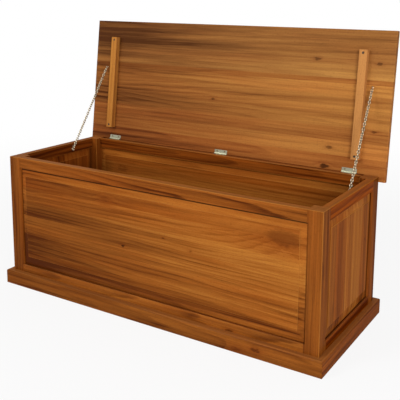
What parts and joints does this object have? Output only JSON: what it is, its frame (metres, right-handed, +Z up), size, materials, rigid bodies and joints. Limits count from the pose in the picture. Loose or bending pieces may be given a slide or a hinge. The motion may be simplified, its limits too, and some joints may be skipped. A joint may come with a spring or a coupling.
{
  "type": "blanket chest",
  "caption": "Framed and panelled wooden blanket chest on a plinth, with a hinged boarded lid held open by check chains.",
  "frame": {"origin": "centre of the footprint of the chest with its lid open, on the surface it stands on", "axes": "+X along the length to the right, +Y from the front to the hinges, +Z up"},
  "size_m": [1.182, 0.52, 0.8894],
  "materials": {
    "post_wood": "waxed, satin",
    "rail_wood": "waxed, satin",
    "panel_wood": "waxed, satin, strong grain",
    "plinth_wood": "waxed, satin",
    "lid_wood": "stained, satin, knotty",
    "batten_wood": "bare, planed",
    "bottom_wood": "stained, dull",
    "hinge_metal": "aged, satin",
    "screw_metal": "brassed, worn",
    "chain_metal": "brassed, bright"
  },
  "bodies": {
    "chest": {"front_left_post": "post_wood", "front_right_post": "post_wood", "rear_left_post": "post_wood", "rear_right_post": "post_wood", "front_top_rail": "rail_wood", "front_bottom_rail": "rail_wood", "front_panel": "panel_wood", "front_plinth": "plinth_wood", "right_top_rail": "rail_wood", "right_bottom_rail": "rail_wood", "right_panel": "panel_wood", "right_plinth": "plinth_wood", "rear_top_rail": "rail_wood", "rear_bottom_rail": "rail_wood", "rear_panel": "panel_wood", "rear_plinth": "plinth_wood", "left_top_rail": "rail_wood", "left_bottom_rail": "rail_wood", "left_panel": "panel_wood", "left_plinth": "plinth_wood", "bottom_panel": "bottom_wood", "left_hinge_case_leaf": "hinge_metal", "left_hinge_pin": "screw_metal", "left_case_leaf_screw_a": "screw_metal", "left_case_leaf_screw_b": "screw_metal", "middle_hinge_case_leaf": "hinge_metal", "middle_hinge_pin": "screw_metal", "middle_case_leaf_screw_a": "screw_metal", "middle_case_leaf_screw_b": "screw_metal", "right_hinge_case_leaf": "hinge_metal", "right_hinge_pin": "screw_metal", "right_case_leaf_screw_a": "screw_metal", "right_case_leaf_screw_b": "screw_metal", "left_case_eye": "screw_metal", "right_case_eye": "screw_metal"},
    "lid": {"lid_front_board": "lid_wood", "lid_middle_board": "lid_wood", "lid_rear_board": "lid_wood", "left_batten": "batten_wood", "left_batten_front_screw": "screw_metal", "left_batten_rear_screw": "screw_metal", "left_lid_eye": "screw_metal", "right_batten": "batten_wood", "right_batten_front_screw": "screw_metal", "right_batten_rear_screw": "screw_metal", "right_lid_eye": "screw_metal", "left_hinge_lid_leaf": "hinge_metal", "left_lid_leaf_screw_a": "screw_metal", "left_lid_leaf_screw_b": "screw_metal", "middle_hinge_lid_leaf": "hinge_metal", "middle_lid_leaf_screw_a": "screw_metal", "middle_lid_leaf_screw_b": "screw_metal", "right_hinge_lid_leaf": "hinge_metal", "right_lid_leaf_screw_a": "screw_metal", "right_lid_leaf_screw_b": "screw_metal"},
    "left_chain_lower": {"left_chain_lower_half": "chain_metal"},
    "left_chain_upper": {"left_chain_upper_half": "chain_metal"},
    "right_chain_lower": {"right_chain_lower_half": "chain_metal"},
    "right_chain_upper": {"right_chain_upper_half": "chain_metal"}
  },
  "joints": [
    {"name": "lid_hinge", "type": "hinge", "parent": "chest", "child": "lid", "pos_m": [0, 0.18546, 0.4465], "axis": [1, 0, 0], "range_deg": [0, 97]},
    {"name": "left_chain_foot", "type": "hinge", "parent": "chest", "child": "left_chain_lower", "pos_m": [-0.538, 0.02196, 0.424], "axis": [1, 0, 0], "range_deg": [0, 161.5]},
    {"name": "left_chain_fold", "type": "hinge", "parent": "left_chain_lower", "child": "left_chain_upper", "pos_m": [-0.53339, 0.13015, 0.59179], "axis": [1, 0, 0], "range_deg": [-148.3, 0]},
    {"name": "right_chain_foot", "type": "hinge", "parent": "chest", "child": "right_chain_lower", "pos_m": [0.538, 0.02196, 0.424], "axis": [1, 0, 0], "range_deg": [0, 161.5]},
    {"name": "right_chain_fold", "type": "hinge", "parent": "right_chain_lower", "child": "right_chain_upper", "pos_m": [0.53339, 0.13015, 0.59179], "axis": [1, 0, 0], "range_deg": [-148.3, 0]}
  ],
  "couplings": [
    {"joint": "left_chain_foot", "follows": "lid_hinge", "ratio": 1.6645},
    {"joint": "left_chain_fold", "follows": "lid_hinge", "ratio": -1.5285},
    {"joint": "right_chain_foot", "follows": "lid_hinge", "ratio": 1.6645},
    {"joint": "right_chain_fold", "follows": "lid_hinge", "ratio": -1.5285}
  ]
}
